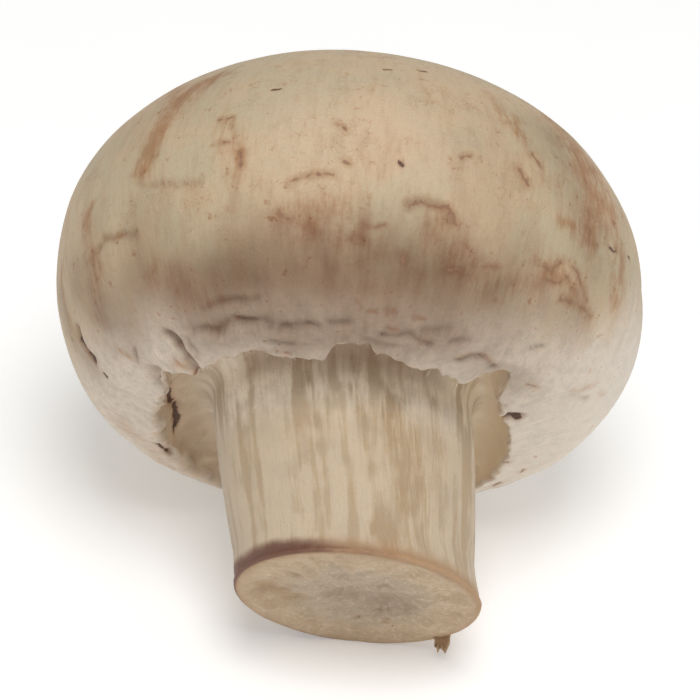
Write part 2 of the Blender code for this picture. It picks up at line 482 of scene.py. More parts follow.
def stem_relief(points, along, turn):
    """Fibres down the stem, and a tuck just above the cut."""
    on_stem = smooth(STEM_TOP - 0.2, STEM_TOP + 0.3, along)
    on_stem = on_stem * (1.0 - smooth(CUT_EDGE - 0.03, CUT_FACE, along))
    wide = 0.14 * strands(turn, points, 2.4, 31, 30.0)
    fine = 0.04 * strands(turn, points, 0.8, 32, 22.0)
    hair = 0.015 * strands(turn, points, 0.4, 33, 9.0)
    above_cut = points[..., 2] - cut_height(turn, STEM_CUT_RADIUS)
    deepest = 0.25 + 0.75 * bump(turn, -140, 90)
    tuck = -0.34 * deepest * np.exp(-(((above_cut - 0.70) / 0.42) ** 2))
    return on_stem * (0.7 * wide + fine + hair + tuck)


def cut_relief(points, along):
    """Torn, fluffy flesh, with a ledge across it where the knife lifted."""
    on_cut = smooth(CUT_FACE, CUT_FACE + 0.12, along)
    lumps = 0.36 * rough_noise(points, 3.0, 41) + 0.46 * rough_noise(points, 1.3, 42)
    beside = points[..., 0] - STEM_CUT_SHIFT
    ledge_place = -0.9 + 0.04 * beside + 0.5 * noise(points, 1.6, 43)
    behind = points[..., 1] - ledge_place
    ledge = smooth(-0.25, 0.25, behind) * (1.0 - smooth(0.3, 7.0, behind))
    ledge = ledge * smooth(-4.0, 0.0, beside) * (1.0 - smooth(4.0, 8.0, beside))
    pit = np.exp(-(((beside + 8.3) / 1.6) ** 2 + ((points[..., 1] - 0.5) / 2.2) ** 2))
    return on_cut * (lumps - 1.1 * ledge - 0.8 * pit)


TURN, PLAIN, ALONG = plain_shape()
DOWN = way_down(PLAIN)

# Marks wander a little from their paths, in millimetres
WANDER = 0.38
WOBBLE = np.stack([noise(PLAIN, 1.7, seed) for seed in (61, 62, 63)], axis=-1)
WOBBLED = PLAIN + WANDER * WOBBLE
# Marks that reach less than BROAD to either side of their path also fade in and out
FADING = np.clip(0.88 + 0.45 * noise(PLAIN, 1.3, 64), 0.0, 1.0)
BROAD = 1.6

# Creases, hollows and ridges: how high, half how wide (mm), then places on the cap as
# degrees right of the front and millimetres down from the widest ring
CREASES = (
    (-0.50, 0.40, ((-38, 14.7), (-31, 15.0), (-24, 14.7), (-22, 14.7), (-19, 15.0), (-18, 15.9))),
    (0.40, 0.80, ((-38, 15.8), (-31, 16.1), (-24, 15.8), (-19, 16.2))),
    (-0.45, 0.38, ((-15, 15.9), (-11, 15.7), (-6, 15.6))),
    (0.30, 0.70, ((-15, 17.0), (-6, 16.7))),
    (-0.45, 0.40, ((-4, 15.3), (0, 15.2))),
    (-0.40, 0.45, ((18, 15.1), (24, 14.5))),
    (0.28, 0.70, ((18, 16.2), (24, 15.6))),
    (-0.40, 0.40, ((26, 15.5), (30, 15.0))),
    (-0.30, 0.50, ((5, 17.0), (12, 17.4))),
    (-0.40, 0.34, ((-33, 13.2), (-27, 12.8), (-20, 13.0))),
    (-0.40, 0.34, ((9, 16.0), (15, 15.8), (21, 16.2))),
    (-0.40, 0.34, ((30, 17.0), (36, 16.2), (41, 16.6))),
    (-0.36, 0.30, ((46, 13.6), (51, 13.0))),
    (-0.36, 0.30, ((-20, 17.4), (-13, 17.2))),
    (-0.40, 0.30, ((-60, 15.6), (-57, 14.4))),
    (-0.36, 0.30, ((70, 15.0), (76, 14.2))),
    (-1.00, 0.60, ((-45, 14.1), (-44, 15.3), (-43, 16.8), (-43, 17.9), (-44, 19.0))),
    (0.45, 0.60, ((-42, 14.6), (-41, 16.8), (-42, 18.6))),
    (-0.35, 0.40, ((-40, 15.5), (-39, 16.7), (-40, 17.7))),
    (-0.45, 0.50, ((-77, 9.0), (-78, 10.6), (-76, 12.7))),
    (0.35, 0.55, ((38, 16.3), (42, 15.7), (49, 15.2), (56, 15.6))),
    (0.45, 0.45, ((66, 25.6), (67, 24.0), (62, 21.6))),
    (-0.30, 0.30, ((56, 21.0), (58, 20.4))),
    (-0.80, 0.45, ((66, 21.2), (69, 20.3))),
    (-0.80, 0.90, ((-57, 17.4), (-60, 18.6))),
    (0.35, 0.40, ((-50, 18.2), (-58, 19.6), (-62, 19.6))),
    (0.40, 0.50, ((-111, 21.1), (-117, 21.8), (-120, 22.8), (-121, 24.2))),
    (0.35, 0.50, ((-123, 20.5), (-126, 21.2), (-131, 23.0))),
    (-0.30, 0.45, ((-115, 22.6), (-124, 22.6))),
    (-0.60, 0.45, ((-104, 20.2), (-107, 20.5), (-111, 20.6))),
    (0.35, 0.50, ((121, 23.1), (117, 22.4), (111, 21.8))),
    (-0.30, 0.50, ((-30, 1.4), (-37, 1.1), (-45, 0.3))),
    (-0.35, 0.60, ((-59, 4.2), (-56, 3.9), (-50, 4.3), (-46, 4.9))),
    (-0.35, 0.55, ((11, 3.9), (15, 3.6), (18, 3.6), (20, 4.9))),
    (-0.28, 0.50, ((-12, 2.7), (-10, 2.0), (-7, 1.7), (-4, 1.7))),
)

# The slit where the veil has come away from the margin, on the left
SLIT = ((-70, 22.6), (-78, 23.4), (-88, 24.0), (-96, 24.2), (-104, 24.0), (-108, 23.2))
SLIT_DEPTH = 0.6
SLIT_WIDTH = 0.5

# The dent at a scar
SCAR_DEPTH = 0.14
SCAR_SOFTNESS = 0.20

# Small scars: half how wide (mm), then places as above. The pits are darker.
PITS = (
    (0.24, ((-17, -8.4), (-16, -8.4))),
    (0.16, ((5, -12.7), (7, -12.7))),
    (0.22, ((14, -13.4), (15, -13.4))),
    (0.40, ((-77, 9.0), (-78, 10.6), (-76, 12.7))),
    (0.26, ((-76, 14.0), (-76, 14.6))),
    (0.42, ((66, 21.2), (69, 20.4))),
    (0.44, SLIT),
    (0.34, ((-104, 20.2), (-107, 20.5), (-111, 20.6))),
    (0.18, ((69, -0.1), (70, -0.1))),
    (0.18, ((59, 1.0), (62, 0.8))),
    (0.22, ((8, 0.2), (9, 0.2))),
    (0.16, ((148, 51.5), (152, 51.5))),
)
SCARS = (
    (0.20, ((20, -1.0), (22, -1.6))),
    (0.32, ((32, -1.7), (34, -0.4))),
    (0.24, ((36, -4.4), (38, -2.8))),
    (0.30, ((10, 8.7), (11, 9.0))),
    (0.22, ((20, 9.3), (24, 9.0))),
    (0.22, ((27, 8.1), (30, 7.8))),
    (0.30, ((-14, 5.2), (-12, 5.9))),
    (0.30, ((-8, 6.8), (-7, 7.4))),
    (0.24, ((6, 6.2), (4, 6.5), (2, 6.2), (1, 7.2), (0, 7.9), (2, 7.9))),
    (0.30, ((11, 3.9), (13, 3.5), (15, 3.6), (18, 3.6), (20, 4.9))),
    (0.20, ((-12, 2.7), (-10, 2.0), (-7, 1.7), (-4, 1.7))),
    (0.26, ((-22, -0.6), (-21, 0.6))),
    (0.20, ((-4, -3.3), (-2, -2.9))),
    (0.22, ((-2, 0.5), (-1, 0.5))),
    (0.20, ((-27, -5.0), (-24, -4.5))),
    (0.20, ((-27, -1.6), (-24, -1.6))),
    (0.22, ((10, 15.5), (12, 15.5))),
    (0.22, ((-24, 18.6), (-22, 18.6))),
    (0.20, ((-33, 18.4), (-31, 18.8))),
    (0.18, ((2, 13.3), (3, 13.6))),
    (0.18, ((5, 13.9), (6, 13.9))),
    (0.18, ((9, 13.9), (10, 13.9))),
    (0.20, ((15, 13.9), (17, 13.9))),
    (0.20, ((-17, 18.4), (-15, 18.6))),
    (0.24, ((55, 17.2), (57, 17.0))),
    (0.26, ((39, 6.2), (43, 6.4), (45, 5.2))),
    (0.26, ((42, 7.5), (46, 7.1), (47, 6.2), (51, 7.1))),
    (0.24, ((48, 8.5), (53, 8.1), (58, 8.4))),
    (0.24, ((48, 4.9), (52, 5.8), (55, 7.1))),
    (0.20, ((-44, 16.0), (-43, 17.6))),
    (0.24, ((-46, 19.4), (-43, 18.8))),
    (0.20, ((56, 21.0), (58, 20.4))),
    (0.26, ((104, 22.0), (105, 21.6))),
    (0.30, ((114, 18.9), (115, 18.6))),
    (0.28, ((126, 18.6), (128, 18.4))),
    (0.18, ((152, 54.5), (157, 54.8))),
    (0.14, ((147, 52.9), (152, 53.1))),
    (0.14, ((168, 55.2), (176, 55.2))),
    (0.14, ((-56, 52.6), (-50, 53.1))),
)


def relief():
    """How far the finished surface stands off the plain shape, in millimetres."""
    points, along, turn = PLAIN, ALONG, TURN[None, :]
    total = cap_relief(points, along) + margin_relief(points, along, turn)
    total = total + stem_relief(points, along, turn) + cut_relief(points, along)
    for height, width, path in CREASES:
        total = total + height * near(path, width)
    for width, path in SCARS:
        total = total - SCAR_DEPTH * near(path, width + SCAR_SOFTNESS)
    return total - SLIT_DEPTH * near(SLIT, SLIT_WIDTH)


# Soft grey-brown stains, with painted shade: how strong, half how wide (mm), then places as above
# The band across the front of the cap below its widest ring and the front of the margin carry painted
# shade
STAINS_AND_SHADE = (
    (0.68, 3.2, ((-34, 10.4), (-18, 10.9), (-4, 11.2), (14, 10.8), (30, 9.8))),
    (0.55, 3.8, ((-22, 10.2), (-4, 10.6), (18, 10.0))),
    (0.40, 3.0, ((-46, 10.0), (-30, 12.0))),
    (0.34, 3.0, ((-20, 7.0), (-2, 7.6), (18, 7.2))),
    (0.58, 3.2, ((-34, 14.6), (-16, 15.4), (4, 15.2), (22, 15.2))),
    (0.40, 3.0, ((26, 14.5), (38, 13.0))),
    (0.35, 2.6, ((38, 17.0), (50, 17.4))),
    (0.22, 2.6, ((-60, 3.0), (-61, 9.0))),
    (0.20, 2.2, ((-44, 3.0), (-46, 8.0))),
    (0.38, 2.8, ((36, 8.0), (44, 9.5), (54, 9.5))),
    (0.34, 3.4, ((42, -8.0), (48, -2.0), (54, 4.0))),
    (0.20, 4.0, ((24, -2.0), (30, 4.0))),
    (0.22, 3.0, ((-40, 6.0), (-52, 9.0))),
    (0.45, 2.6, ((-12, 17.6), (2, 18.2), (14, 17.8))),
    (0.50, 3.2, ((-68, 6.0), (-64, 9.5), (-56, 12.5))),
    (0.35, 1.8, ((-84, 5.0), (-80, 13.0))),
    (0.16, 4.0, ((-50, -8.0), (-40, -10.0))),
)

# Rusty stains that follow the fibres
RUST = (
    (0.95, 1.3, ((-41, -9.6), (-42, -5.0), (-44, -1.1))),
    (0.80, 1.7, ((-36, -13.0), (-40, -8.0), (-43, -3.0))),
    (0.28, 2.0, ((9, -1.0), (2, 3.0), (-6, 6.0))),
    (0.50, 1.8, ((-12, 5.5), (-4, 6.0), (4, 8.0))),
    (0.55, 2.0, ((16, 6.0), (24, 9.0))),
    (0.90, 2.6, ((50, -9.0), (54, -3.0), (52, 1.0))),
    (0.75, 2.2, ((60, -5.0), (64, 2.0), (66, 5.0))),
    (0.55, 2.0, ((46, -15.0), (52, -11.0), (58, -8.0))),
    (0.50, 1.2, ((30, -11.0), (33, -6.0))),
    (0.55, 2.0, ((-50, -16.0), (-45, -12.0))),
    (0.60, 1.8, ((-62, 1.0), (-60, 6.0), (-64, 10.0))),
    (0.60, 1.5, ((-78, 2.0), (-82, 8.0), (-78, 13.0))),
    (0.50, 2.0, ((-25, -4.0), (-21, 1.0))),
    (0.60, 1.6, ((41, 6.0), (49, 7.0), (57, 8.4))),
    (0.40, 2.0, ((33, -8.0), (37, -2.0))),
    (0.50, 2.2, ((-42, 9.0), (-34, 12.0))),
    (0.45, 2.2, ((28, 10.0), (40, 9.0))),
    (0.40, 1.4, ((4, 12.0), (10, 14.0))),
    (0.80, 1.5, ((25, -23.5), (40, -21.5), (55, -17.5), (65, -14.0))),
    (0.50, 1.3, ((65, -14.0), (75, -9.0), (83, -4.5), (88, 0.0))),
    (0.60, 1.2, ((-22, -23.5), (-35, -22.0), (-50, -18.5), (-62, -14.5))),
    (0.70, 1.3, ((-62, -14.5), (-72, -9.5), (-82, -4.5), (-90, 0.0))),
    (0.30, 2.6, ((-8, 9.0), (14, 9.0))),
    (0.90, 0.5, ((-59, 4.2), (-56, 3.9), (-50, 4.3), (-46, 4.9))),
    (0.35, 0.5, ((-45, 0.3), (-37, 1.1), (-30, 1.4))),
    (0.80, 0.5, ((-62, 0.5), (-59, -0.6), (-55, 0.0))),
    (0.80, 0.6, ((43, 1.7), (48, 0.9))),
    (0.70, 0.5, ((57, -6.7), (60, -6.7))),
    (0.70, 0.5, ((-63, 13.8), (-61, 14.6))),
    (0.80, 0.5, ((68, 14.5), (71, 13.6), (74, 12.7))),
    (0.70, 0.4, ((78, 12.4), (81, 12.1))),
    (0.80, 0.4, ((-34, 14.6), (-28, 14.6), (-22, 14.4))),
    (0.70, 0.4, ((-33, 13.0), (-27, 12.6), (-20, 12.8))),
    (0.60, 0.4, ((9, 15.8), (15, 15.6), (21, 16.0))),
    (0.60, 0.4, ((30, 16.8), (36, 16.0), (41, 16.4))),
    (0.80, 0.9, ((-48, 17.4), (-45, 18.6))),
    (0.45, 1.8, ((-96, 17.0), (-112, 19.0), (-124, 19.4))),
    (0.90, 1.1, ((-95, 50.0), (-96, 51.5), (-112, 51.5))),
)

# Tan streaks down the stem
STREAKS = (
    (0.60, 0.80, ((3, 34.0), (5, 39.0), (7, 44.0), (10, 48.0), (12, 51.0))),
    (0.80, 1.30, ((13, 50.5), (14, 53.0))),
    (0.55, 0.90, ((-17, 34.0), (-15, 40.0), (-13, 43.0))),
    (0.60, 1.10, ((17, 38.0), (20, 42.0), (23, 48.0))),
    (0.40, 0.70, ((-28, 37.0), (-27, 42.0), (-27, 47.0))),
    (0.45, 1.20, ((40, 33.0), (42, 37.0), (44, 44.0))),
    (0.40, 0.80, ((-50, 36.0), (-48, 46.0))),
    (0.45, 0.80, ((30, 40.0), (33, 50.0))),
    (0.38, 2.60, ((24, 38.0), (28, 50.0))),
)

# The warm patch near the crown's top
WARMTH = ((1.0, 5.5, ((-8, -3.0), (4, -4.0), (12, -1.5))),)


def painted(patches):
    """How strongly patches cover each point, from 0 to 1; patches that overlap add up."""
    bare = np.ones(PLAIN.shape[:-1])
    for strength, width, path in patches:
        bare = bare * (1.0 - strength * near(path, width))
    return 1.0 - bare


def crease_shade():
    """How deep in a crease each point is, for the shade painted into the creases."""
    deep = np.zeros(PLAIN.shape[:-1])
    for height, width, path in CREASES:
        share = smooth(-0.20, -0.50, height)
        deep = np.maximum(deep, share * near(path, width))
    return deep


# Laying the mushroom down --------------------------------------------------------------


def lying_tilt():
    """The angle between axis and ground when the back of cap and cut edge both touch it."""
    points = PLAIN.reshape(-1, 3)
    cap_points = points[points[:, 2] > STEM_TOP_HEIGHT]
    stem_points = points[points[:, 2] < STEM_WAIST_HEIGHT]
    tilt = FIRST_TILT
    for _round in range(TILT_ROUNDS):
        down = np.array([0, math.cos(tilt), -math.sin(tilt)])
        between = cap_points[np.argmax(cap_points @ down)] - stem_points[np.argmax(stem_points @ down)]
        tilt = math.atan2(between[1] - (FLAT_DEPTH_CAP - FLAT_DEPTH_STEM), between[2])
    return tilt


def lying_matrix():
    """From upright millimetres to the place where the frame's mushroom lies, in metres."""
    tilt = lying_tilt()
    back = (0, math.sin(tilt), -math.cos(tilt))
    axis = (0, math.cos(tilt), math.sin(tilt))
    turned = np.array([(1, 0, 0), back, axis]).T
    points = PLAIN.reshape(-1, 3) @ turned.T * MM
    low, high = (np.array(corner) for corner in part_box("mushroom"))
    middle = 0.5 * (low + high) - 0.5 * (points.min(axis=0) + points.max(axis=0))
    lowest = low[2] - points[:, 2].min() - FLAT_DEPTH_CAP * MM
    moved = Vector((middle[0], middle[1], lowest))
    return Matrix.Translation(moved) @ Matrix(turned.tolist()).to_4x4() @ Matrix.Scale(MM, 4)


LYING = lying_matrix()


def laid(points):
    """Upright points as they lie, with the flesh pressed flat on the floor."""
    matrix = np.array(LYING)
    lying = points @ matrix[:3, :3].T + matrix[:3, 3]
    lying[..., 2] = np.maximum(lying[..., 2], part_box("mushroom")[0][2])
    return lying


# Meshes ------------------------------------------------------------------------------------


def sheet_faces(row_count):
    faces = []
    for row in range(row_count - 1):
        upper = row * COLUMNS
        lower = upper + COLUMNS
        for column in range(COLUMNS):
            following = (column + 1) % COLUMNS
            faces.append((upper + column, lower + column, lower + following, upper + following))
    return faces


def add_numbers(mesh, name, kind, values):
    """Keeps a number or a vector with each point of a mesh, for its material."""
    made = mesh.attributes.new(name, kind, "POINT")
    made.data.foreach_set("vector" if kind == "FLOAT_VECTOR" else "value", np.ravel(values))


def closed_faces(row_count):
    """Faces between the rows, and fans that close the crown's top and the cut's middle."""
    faces = sheet_faces(row_count)
    top = row_count * COLUMNS
    bottom = top + 1
    last = (row_count - 1) * COLUMNS
    for column in range(COLUMNS):
        following = (column + 1) % COLUMNS
        faces.append((top, column, following))
        faces.append((last + column, bottom, last + following))
    return faces


def keep_numbers(mesh):
    """What the flesh's material reads at each point, with the two closing points last."""
    closing = [PLAIN[0].mean(axis=0), PLAIN[-1].mean(axis=0)]
    upright = np.concatenate([PLAIN.reshape(-1, 3), closing])
    turned = np.broadcast_to(TURN, ALONG.shape)
    side, back = MARGIN_RADIUS * np.cos(turned), MARGIN_RADIUS * np.sin(turned)
    spun = np.stack([side, back, FIBRE_STRETCH * DOWN], axis=-1).reshape(-1, 3)
    spun = np.concatenate([spun, [spun[0], spun[-1]]])
    add_numbers(mesh, "upright", "FLOAT_VECTOR", upright)
    add_numbers(mesh, "strand", "FLOAT_VECTOR", spun)
    add_numbers(mesh, "along", "FLOAT", np.append(ALONG.ravel(), [0.0, CUT_MIDDLE]))
    colouring = {
        "stain_and_shade": painted(STAINS_AND_SHADE),
        "rust": painted(RUST),
        "streak": painted(STREAKS),
        "warmth": painted(WARMTH),
        "crease_shade": crease_shade(),
        "from_front": np.broadcast_to(degrees_from_front(TURN), ALONG.shape),
    }
    for name, numbers in colouring.items():
        add_numbers(mesh, name, "FLOAT", np.append(numbers.ravel(), [0.0, 0.0]))


def mushroom_body():
    """The whole mushroom as one closed skin, with its relief."""
    shaped = PLAIN + relief()[..., None] * outward_directions(PLAIN)
    closing = [shaped[0].mean(axis=0), shaped[-1].mean(axis=0)]
    points = np.concatenate([shaped.reshape(-1, 3), closing])
    mesh = bpy.data.meshes.new("mushroom_body")
    mesh.from_pydata(laid(points).tolist(), [], closed_faces(len(PLAIN)))
    mesh.shade_smooth()
    keep_numbers(mesh)
    body = bpy.data.objects.new("mushroom_body", mesh)
    bpy.context.scene.collection.objects.link(body)
    return body


def thread_points(first, last, sag):
    """Points along a thread that bows to one side between its two ends."""
    shares = np.linspace(0.0, 1.0, THREAD_STEPS)[:, None]
    return first + shares * (last - first) + 4.0 * shares * (1.0 - shares) * sag


def tube(centres, radius, vertices, faces):
    """Adds a thin tube, tapered to its free end, to a list of vertices and faces."""
    start = len(vertices)
    for index, centre in enumerate(centres):
        thickness = radius * (1.0 - THREAD_TAPER * index / (len(centres) - 1))
        for side in range(THREAD_SIDES):
            angle = math.tau * side / THREAD_SIDES
            offset = (math.cos(angle), 0.6 * math.sin(angle), math.sin(angle))
            vertices.append(centre + thickness * np.array(offset))
    for index in range(len(centres) - 1):
        for side in range(THREAD_SIDES):
            here = start + index * THREAD_SIDES + side
            beside = start + index * THREAD_SIDES + (side + 1) % THREAD_SIDES
            faces.append((here, beside, beside + THREAD_SIDES, here + THREAD_SIDES))
    faces.append(tuple(range(start, start + THREAD_SIDES))[::-1])
    faces.append(tuple(range(len(vertices) - THREAD_SIDES, len(vertices))))


def new_piece(name, vertices, faces):
    mesh = bpy.data.meshes.new(name)
    mesh.from_pydata(laid(np.array(vertices)).tolist(), [], faces)
    mesh.shade_smooth()
    piece = bpy.data.objects.new(name, mesh)
    bpy.context.scene.collection.objects.link(piece)
    return piece


def veil_threads():
    """Loose threads along the torn edge of the veil."""
    chance = random.Random(THREAD_SEED)
    row = ROWS["crown"] + ROWS["underside"] + ROWS["edge"] // 2
    vertices, faces = [], []
    for _thread in range(THREAD_COUNT):
        column = int(np.argmin(np.abs(degrees_from_front(TURN) - chance.uniform(*THREAD_SPAN))))
        root = PLAIN[row, column]
        inward = -np.array([root[0], root[1], 0.0]) / np.hypot(root[0], root[1])
        spread = np.array([chance.gauss(0, 0.5), chance.gauss(0, 0.5), chance.gauss(-0.2, 0.5)])
        length = chance.uniform(*THREAD_LENGTHS)
        tip = root + length * (inward + spread)
        sag = np.array([chance.gauss(0, 1), chance.gauss(0, 1), chance.gauss(0, 1)])
        bowed = thread_points(root, tip, THREAD_BOW * (THREAD_SAG * length * sag))
        tube(bowed, chance.uniform(*THREAD_RADII), vertices, faces)
    return new_piece("veil_threads", vertices, faces)


def cut_shred():
    """A flake of browned skin that the knife left hanging from the edge of the cut."""
    root = np.array(SHRED_ROOT)
    hang = np.array([0.0, math.sin(SHRED_HANG), -math.cos(SHRED_HANG)])
    chance = random.Random(SHRED_SEED)
    vertices, faces = [], []
    for row in range(SHRED_ROWS):
        down = SHRED_LENGTH * row / (SHRED_ROWS - 1)
        for column in range(SHRED_COLUMNS):
            across = column / (SHRED_COLUMNS - 1) - 0.5
            width = SHRED_WIDTH * (1.0 - SHRED_TAPER * row / (SHRED_ROWS - 1))
            width = width + chance.uniform(-SHRED_UNEVEN, SHRED_UNEVEN)
            torn = chance.uniform(*SHRED_TORN) if row == SHRED_ROWS - 1 else 0.0
            curl = np.array([0.0, -0.9 * across**2 - 0.03 * row**2, 0.0])
            side = np.array([width * across, 0.0, 0.0])
            vertices.append(root + (down + torn) * hang + side + curl)
    for row in range(SHRED_ROWS - 1):
        for column in range(SHRED_COLUMNS - 1):
            here = row * SHRED_COLUMNS + column
            faces.append((here, here + 1, here + 1 + SHRED_COLUMNS, here + SHRED_COLUMNS))
    flake = new_piece("cut_shred", vertices, faces)
    thickness = flake.modifiers.new("thickness", "SOLIDIFY")
    thickness.thickness = SHRED_THICKNESS * MM
    return flake


# Materials ---------------------------------------------------------------------------------


class Value:
    """A number or colour that varies over a surface; sums on it add Math nodes."""

    def __init__(self, finish, socket):
        self.finish = finish
        self.socket = socket

    def __add__(self, other):
        return self.finish.math("ADD", self, other)

    def __radd__(self, other):
        return self.finish.math("ADD", other, self)

    def __sub__(self, other):
        return self.finish.math("SUBTRACT", self, other)

    def __rsub__(self, other):
        return self.finish.math("SUBTRACT", other, self)

    def __mul__(self, other):
        return self.finish.math("MULTIPLY", self, other)

    def __rmul__(self, other):
        return self.finish.math("MULTIPLY", other, self)


class Finish:
    """A material and the nodes that make it."""

    def __init__(self, name):
        self.material = bpy.data.materials.new(name)
        self.material.use_nodes = True
        self.tree = self.material.node_tree
        self.tree.nodes.clear()

    def node(self, kind, settings, inputs, output=0):
        made = self.tree.nodes.new(kind)
        for name, setting in settings.items():
            setattr(made, name, setting)
        for name, value in inputs.items():
            if isinstance(value, Value):
                self.tree.links.new(value.socket, made.inputs[name])
            else:
                made.inputs[name].default_value = value
        return Value(self, made.outputs[output]) if len(made.outputs) else None

    def math(self, operation, first, second):
        return self.node("ShaderNodeMath", {"operation": operation}, {0: first, 1: second})

    def kept(self, name, output):
        """A number ("Fac") or vector ("Vector") kept with the mesh's points."""
        return self.node("ShaderNodeAttribute", {"attribute_name": name}, {}, output)

    def limited(self, value):
        return self.math("MAXIMUM", self.math("MINIMUM", value, 1.0), 0.0)

    def noise(self, where, scale, detail=2.0, roughness=0.5, output="Fac"):
        inputs = {"Vector": where, "Scale": scale, "Detail": detail, "Roughness": roughness}
        return self.node("ShaderNodeTexNoise", {}, inputs, output)

    def step(self, value, low, high):
        """0 below low and 1 above high, or the other way round where low is higher."""
        settings = {"interpolation_type": "SMOOTHSTEP"}
        inputs = {"Value": value, "From Min": low, "From Max": high}
        if low > high:
            inputs = {"Value": value, "From Min": high, "From Max": low, "To Min": 1.0, "To Max": 0.0}
        return self.node("ShaderNodeMapRange", settings, inputs, "Result")

    def mix(self, share, first, second, blend="MIX"):
        """Colour: the first where share is 0, the second where it is 1."""
        settings = {"data_type": "RGBA", "blend_type": blend, "clamp_factor": True}
        return self.node("ShaderNodeMix", settings, {"Factor": share, 6: first, 7: second}, 2)

    def vector(self, operation, first, second, output="Vector"):
        settings = {"operation": operation}
        return self.node("ShaderNodeVectorMath", settings, {0: first, 1: second}, output)

    def scaled(self, where, factor):
        settings = {"operation": "SCALE"}
        return self.node("ShaderNodeVectorMath", settings, {0: where, "Scale": factor}, "Vector")


def colour(red, green, blue):
    return (red, green, blue, 1.0)


CREAM = colour(0.60, 0.455, 0.29)
GREENISH = colour(0.54, 0.45, 0.295)
PEACH = colour(0.68, 0.50, 0.335)
FIBRE = colour(0.44, 0.28, 0.16)
COTTON = colour(0.72, 0.61, 0.495)
COTTON_GREY = colour(0.56, 0.47, 0.375)
COTTON_PALE_AND_LIT = colour(0.90, 0.81, 0.70)
STAIN_AND_SHADE_TINT = colour(0.33, 0.225, 0.15)
RUST_TINT = colour(0.74, 0.54, 0.40)
CREASE_SHADE_TINT = colour(0.42, 0.31, 0.23)
VEIL = colour(0.74, 0.59, 0.43)
VEIL_SHADED = colour(0.64, 0.49, 0.35)
VEIL_PAINTED_LIGHT = colour(0.92, 0.77, 0.58)
UNDER_LIP_SHADOW = colour(0.36, 0.235, 0.165)
LIP = colour(0.70, 0.56, 0.42)
STEM_PALE = colour(0.61, 0.485, 0.34)
STEM_GREY = colour(0.46, 0.38, 0.29)
STEM_PAINTED_LIGHT = colour(0.98, 0.88, 0.72)
STEM_TAN = colour(0.40, 0.26, 0.13)
RIM_TAN = colour(0.42, 0.245, 0.12)
RIM_DARK_AND_SHADE = colour(0.16, 0.065, 0.04)
CUT_PALE = colour(0.58, 0.43, 0.285)
CUT_LIGHT = colour(0.80, 0.67, 0.51)
CUT_GREY = colour(0.43, 0.35, 0.27)
CUT_TAN = colour(0.43, 0.28, 0.15)
SCAR = colour(0.27, 0.14, 0.075)
PIT = colour(0.10, 0.042, 0.028)


def strokes(finish, where, marks):
    """1 in the middle of the nearest mark and 0 at its edge, for each place where."""
    total = -9.0
    for width, path in marks:
        for first, last in zip(path, path[1:]):
            start, end = place(*first), place(*last)
            line = end - start
            from_start = finish.vector("SUBTRACT", where, tuple(start))
            share = finish.vector("DOT_PRODUCT", from_start, tuple(line / (line @ line)), "Value")
            nearest = finish.scaled(tuple(line), finish.limited(share))
            away = finish.vector("DISTANCE", from_start, nearest, "Value")
            total = finish.math("MAXIMUM", total, 1.0 - away * (1.0 / width))
    return total


def cap_skin(finish, upright, strand, along, from_front, streaks):
    cloudy = finish.noise(upright, 0.11, 5.0, 0.6)
    skin = finish.mix(finish.step(cloudy, 0.42, 0.60), CREAM, GREENISH)
    skin = finish.mix(finish.kept("warmth", "Fac") * 0.6, skin, PEACH)
    fibres = finish.noise(strand, 2.6, 3.0, 0.65)
    skin = finish.mix(finish.step(streaks, 0.48, 0.72) * 0.30, skin, FIBRE)
    skin = finish.mix(finish.step(fibres, 0.45, 0.80) * 0.34, skin, FIBRE)
    blotches = finish.noise(upright, 0.24, 6.0, 0.72)
    skin = finish.mix(finish.step(blotches, 0.52, 0.68) * 0.32, skin, FIBRE)
    patches = finish.noise(upright, 0.5, 5.0, 0.68)
    skin = finish.mix(finish.step(patches, 0.57, 0.70) * 0.30, skin, FIBRE)
    grainy = finish.noise(upright, 4.5, 4.0, 0.75)
    skin = finish.mix(finish.step(grainy, 0.42, 0.68) * 0.20, skin, FIBRE)
    fluff = finish.noise(upright, 1.0, 6.0, 0.75)
    cotton = finish.mix(finish.step(fluff, 0.30, 0.66), COTTON_GREY, COTTON)
    # Towards the right the cotton is paler: partly whiter cotton, partly painted light for the bright
    # right edge
    cotton = finish.mix(finish.step(from_front, 50.0, 85.0) * 0.45, cotton, COTTON_PALE_AND_LIT)
    ragged = along + (streaks - 0.5) * 0.45 + (fluff - 0.5) * 0.15 + (blotches - 0.5) * 0.15
    ragged = ragged + finish.step(from_front, 48.0, 88.0) * 0.45
    skin = finish.mix(finish.step(ragged, WIDEST + 0.30, WIDEST + 0.80), skin, cotton)
    veins = finish.noise(upright, 0.9, 2.0, 0.5)
    veined = finish.step(veins, 0.488, 0.498) * finish.step(veins, 0.512, 0.502)
    veined = veined * finish.step(blotches, 0.50, 0.58) * finish.step(along, WIDEST + 0.3, WIDEST + 0.1)
    skin = finish.mix(veined * 0.75, skin, RUST_TINT, "MULTIPLY")
    flecked = finish.step(finish.noise(upright, 1.0, 3.0, 0.6), 0.635, 0.70)
    flecked = flecked * finish.step(cloudy, 0.64, 0.46)
    skin = finish.mix(flecked * 0.7, skin, RUST_TINT, "MULTIPLY")
    patchy = (patches - 0.5) * 0.3 + (streaks - 0.5) * 0.5 + (blotches - 0.5) * 0.2
    # Stains, and painted shade on the front band and the front of the margin
    stained_and_shaded = finish.limited(finish.kept("stain_and_shade", "Fac") * (1.0 + patchy))
    skin = finish.mix(stained_and_shaded, skin, STAIN_AND_SHADE_TINT, "MULTIPLY")
    rusty = (patches - 0.5) * 2.6 + (fibres - 0.5) * 2.0 + (streaks - 0.5) * 1.6
    rusty = finish.kept("rust", "Fac") * (0.95 + rusty)
    return finish.mix(finish.step(rusty, 0.0, 1.1), skin, RUST_TINT, "MULTIPLY")


